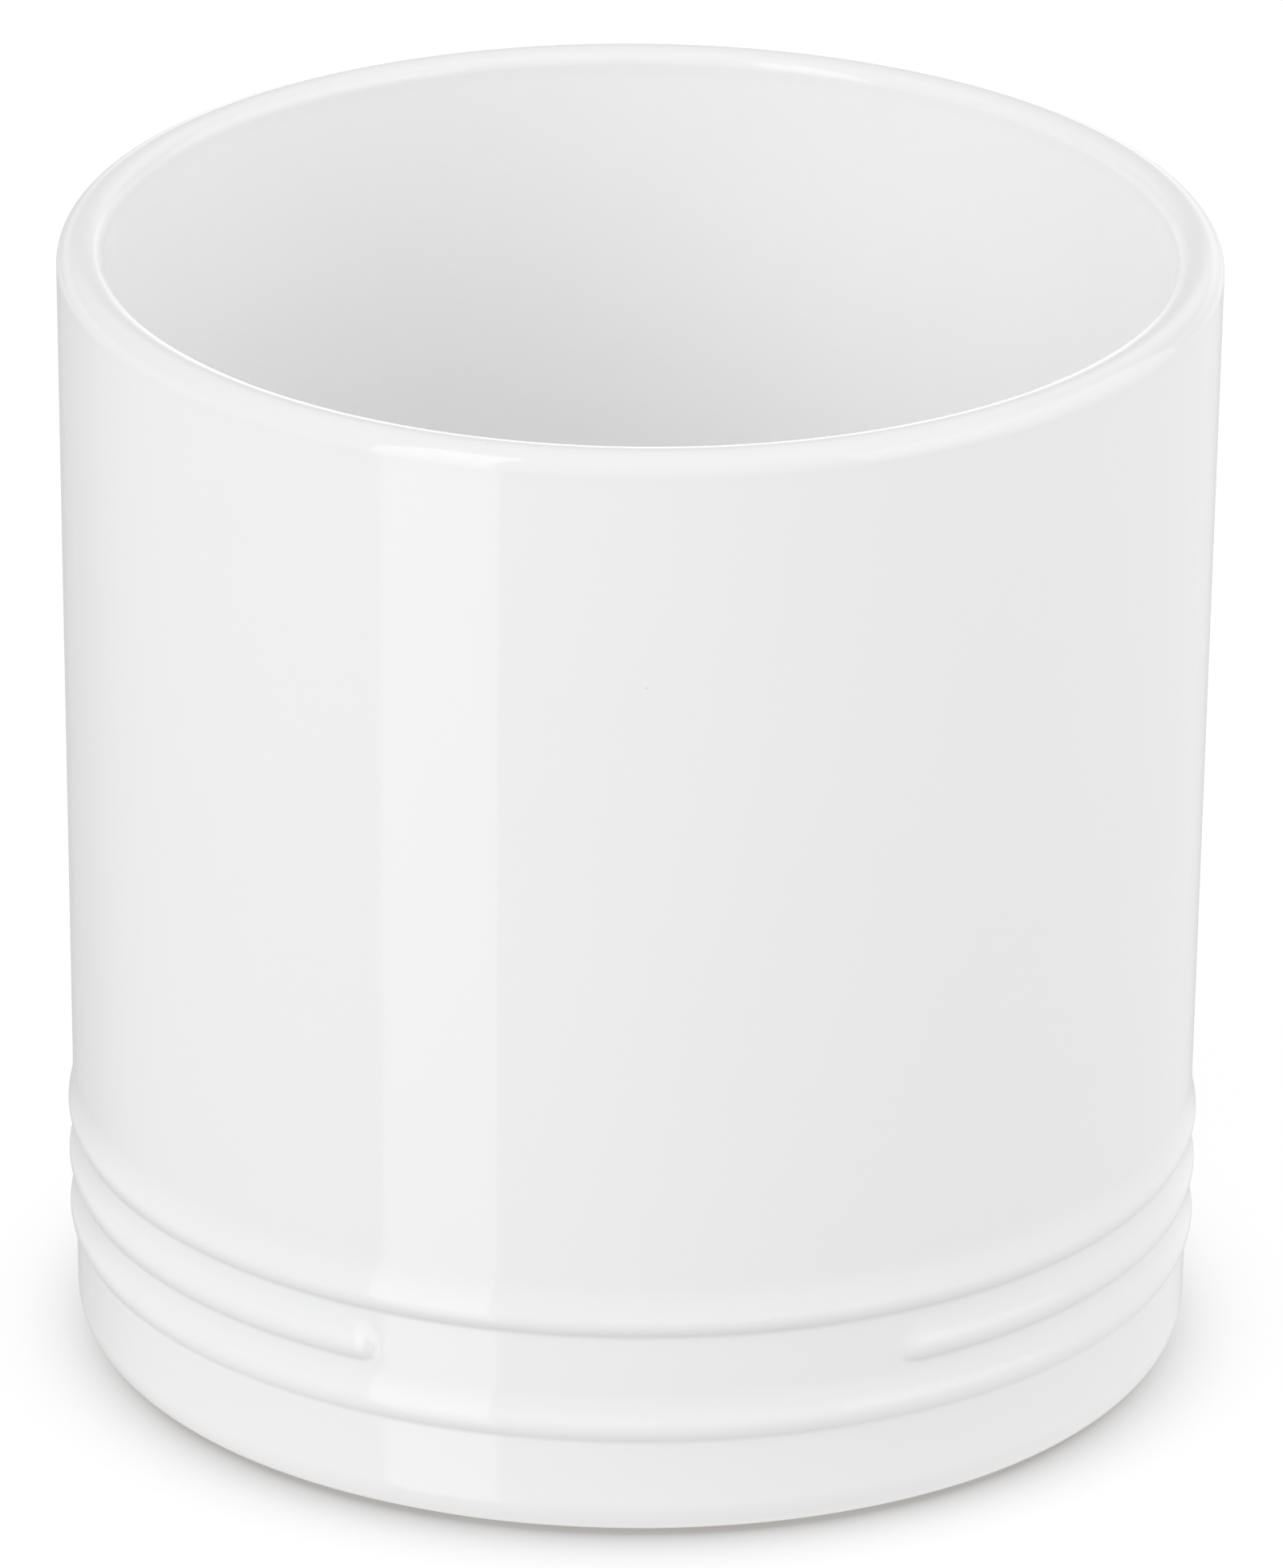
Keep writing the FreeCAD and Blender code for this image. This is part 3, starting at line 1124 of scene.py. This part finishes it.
@dataclass
class Studio:
    """A white floor, soft light all round, and two upright light cards.

    The floor takes light and shadow by its colour, and the lift makes it white where it is seen. From
    shadow_start on, that lift comes back over shadow_fade, which leaves a painted contact shadow at the
    foot. The dim ring under the floor is met by soft light alone. The gloss mirrors a light of its own:
    low, level and high, with glows that shade where they are negative. The spans horizon, level_from and
    high_from give how high a ray points where one light turns into the next.
    """

    bounces: int = 12
    steps: int = 96
    floor_radius: float = 4.0
    floor_height: float = -0.00005
    floor_colour: Colour = (0.25, 0.25, 0.25, 1.0)
    lift: float = 0.78
    shadow_depth: float = 0.5
    shadow_start: float = 0.073
    shadow_fade: float = 0.005
    shadow_forward: float = 0.0015
    dim_ring: Span = (0.085, 0.25)
    dim_ring_height: float = -0.002
    dim_ring_light: float = 0.52
    horizon: Span = (-0.02, 0.02)
    even_light: float = 0.565
    sky_glows: tuple[Glow, ...] = (
        Glow(-60, 33, 3.8, 20),
        Glow(-40, 38, 0.85, 20),
        Glow(-40, 12, 0.22, 10),
        Glow(0, 30, 1.35, 10),
        Glow(45, 45, 0.2),
        Glow(90, 25, 1.75),
        Glow(160, 12, 1.4, 10),
        Glow(-150, 12, 1.9, 10),
    )
    light_below: float = 0.8
    ground_glows: tuple[Glow, ...] = (Glow(0, -90, 2.8, 20),)
    mirrored_low: float = 1.1
    mirrored_level: float = 0.7
    mirrored_high: float = 0.1
    level_from: Span = (-0.25, -0.08)
    high_from: Span = (0.12, 0.32)
    mirrored_glows: tuple[Glow, ...] = (
        Glow(180, 2, 1.8, 120),
        Glow(158, 0, 0.5, 20),
        Glow(158, 25, 0.8, 20),
        Glow(-158, 25, 0.3, 20),
        Glow(180, 25, -0.3, 60),
        Glow(180, -25, -0.3, 16),
        Glow(-145, -25, -0.35, 16),
    )
    cards: tuple[LightCard, ...] = (
        LightCard("strip_light", math.radians(-38.7), math.radians(24.0), (-1.1, 1.9), (1.65, 2.2)),
        LightCard("side_light", math.radians(82), math.radians(80), (-0.05, 1.4), (1.03, 1.03)),
    )

    def make(self) -> None:
        """Makes the world, the floor and the lights."""
        scene = bpy.context.scene
        scene.view_settings.view_transform = "Standard"
        scene.cycles.diffuse_bounces = self.bounces
        scene.cycles.glossy_bounces = self.bounces
        scene.cycles.max_bounces = 2 * self.bounces
        self.make_world()
        self.make_floor()
        self.make_dim_ring()
        for card in self.cards:
            card.make()

    @staticmethod
    def total(net: Net, way: Wire, even: Wire | float, glows: Iterable[Glow]) -> Wire:
        """Even light and some glows, added up.

        Args:
            net: the world's node tree.
            way: the direction that a ray comes from.
            even: the even light.
            glows: the glows.

        Returns:
            The light from that direction.
        """
        light = even
        for glow in glows:
            sockets = {0: way, 1: glow.way()}
            facing = net.node("ShaderNodeVectorMath", {"operation": "DOT_PRODUCT"}, sockets, "Value")
            fading = net.math("POWER", net.math("MAXIMUM", facing, 0.0), glow.sharpness)
            light = light + fading * glow.strength
        return light

    def make_world(self) -> None:
        """Makes the world: white where it is seen, one light for the gloss and one for all the rest."""
        world = bpy.data.worlds.new("studio")
        bpy.context.scene.world = world
        world.use_nodes = True
        net = Net(world.node_tree)
        rays = net.node("ShaderNodeLightPath")
        seen, glossy = rays.port("Is Camera Ray"), rays.port("Is Glossy Ray")
        way = net.node("ShaderNodeTexCoord", {}, {}, "Generated")
        height = net.node("ShaderNodeSeparateXYZ", {}, {0: way}, "Z")

        level = net.ease(height, *self.level_from)
        high = net.ease(height, *self.high_from)
        upper = net.ease(high, 0.0, 1.0, self.mirrored_level, self.mirrored_high)
        mirrored = self.mirrored_low * (1 - level) + level * upper
        mirrored = net.math("MAXIMUM", self.total(net, way, mirrored, self.mirrored_glows), 0.0)

        above = net.ease(height, *self.horizon)
        lit = above * self.total(net, way, self.even_light, self.sky_glows)
        lit = lit + (1 - above) * self.total(net, way, self.light_below, self.ground_glows)
        strength = seen + (1 - seen) * (glossy * mirrored + (1 - glossy) * lit)
        light = net.node("ShaderNodeBackground", {}, {"Strength": strength})
        net.node("ShaderNodeOutputWorld", {}, {"Surface": light})

    def make_floor(self) -> None:
        """Makes the floor, which is lifted to white where it is seen, keeps the crock's shadow and has a
        painted contact shadow.
        """
        material, net = new_material("floor_white")
        seen = net.node("ShaderNodeLightPath", {}, {}, "Is Camera Ray")
        spot = net.node("ShaderNodeTexCoord", {}, {}, "Object")
        moved = net.node("ShaderNodeVectorMath", {}, {0: spot, 1: (0.0, self.shadow_forward, 0.0)})
        away = net.node("ShaderNodeVectorMath", {"operation": "LENGTH"}, {0: moved}, "Value")
        # Painted contact shadow: the lift falls off towards the foot
        past = net.math("MAXIMUM", away - self.shadow_start, 0.0)
        lift = self.lift - net.math("EXPONENT", past * (-1 / self.shadow_fade)) * self.shadow_depth

        matt = net.node("ShaderNodeBsdfDiffuse", {}, {"Color": self.floor_colour})
        glow = net.node("ShaderNodeEmission", {}, {"Strength": seen * lift})
        top = net.node("ShaderNodeAddShader", {}, {0: matt, 1: glow})
        below = net.node("ShaderNodeNewGeometry", {}, {}, "Backfacing")
        clear = net.node("ShaderNodeBsdfTransparent")
        surface = net.node("ShaderNodeMixShader", {}, {0: below, 1: top, 2: clear})
        net.node("ShaderNodeOutputMaterial", {}, {"Surface": surface})
        corners = ring_corners(self.floor_radius, self.floor_height, self.steps)
        stage_mesh("floor", corners, [tuple(range(self.steps))], material, ("glossy", "diffuse", "shadow"))

    def make_dim_ring(self) -> None:
        """Makes the ring that dims the ground near the crock, for soft light alone."""
        material, net = new_material("dim_ring_light")
        glow = net.node("ShaderNodeEmission", {}, {"Strength": self.dim_ring_light})
        net.node("ShaderNodeOutputMaterial", {}, {"Surface": glow})
        corners: list[Vector] = []
        for radius in self.dim_ring:
            corners += ring_corners(radius, self.dim_ring_height, self.steps)
        steps = [(step, (step + 1) % self.steps) for step in range(self.steps)]
        faces = [(this, after, self.steps + after, self.steps + this) for this, after in steps]
        stage_mesh("dim_ring", corners, faces, material, ("camera", "glossy", "transmission"))


def main() -> None:
    """Builds the studio and the crock."""
    logging.basicConfig(level=logging.INFO, format="%(name)s: %(message)s")
    PhotoCamera().make()
    Studio().make()
    Crock().make()


if __name__ == "__main__":
    main()
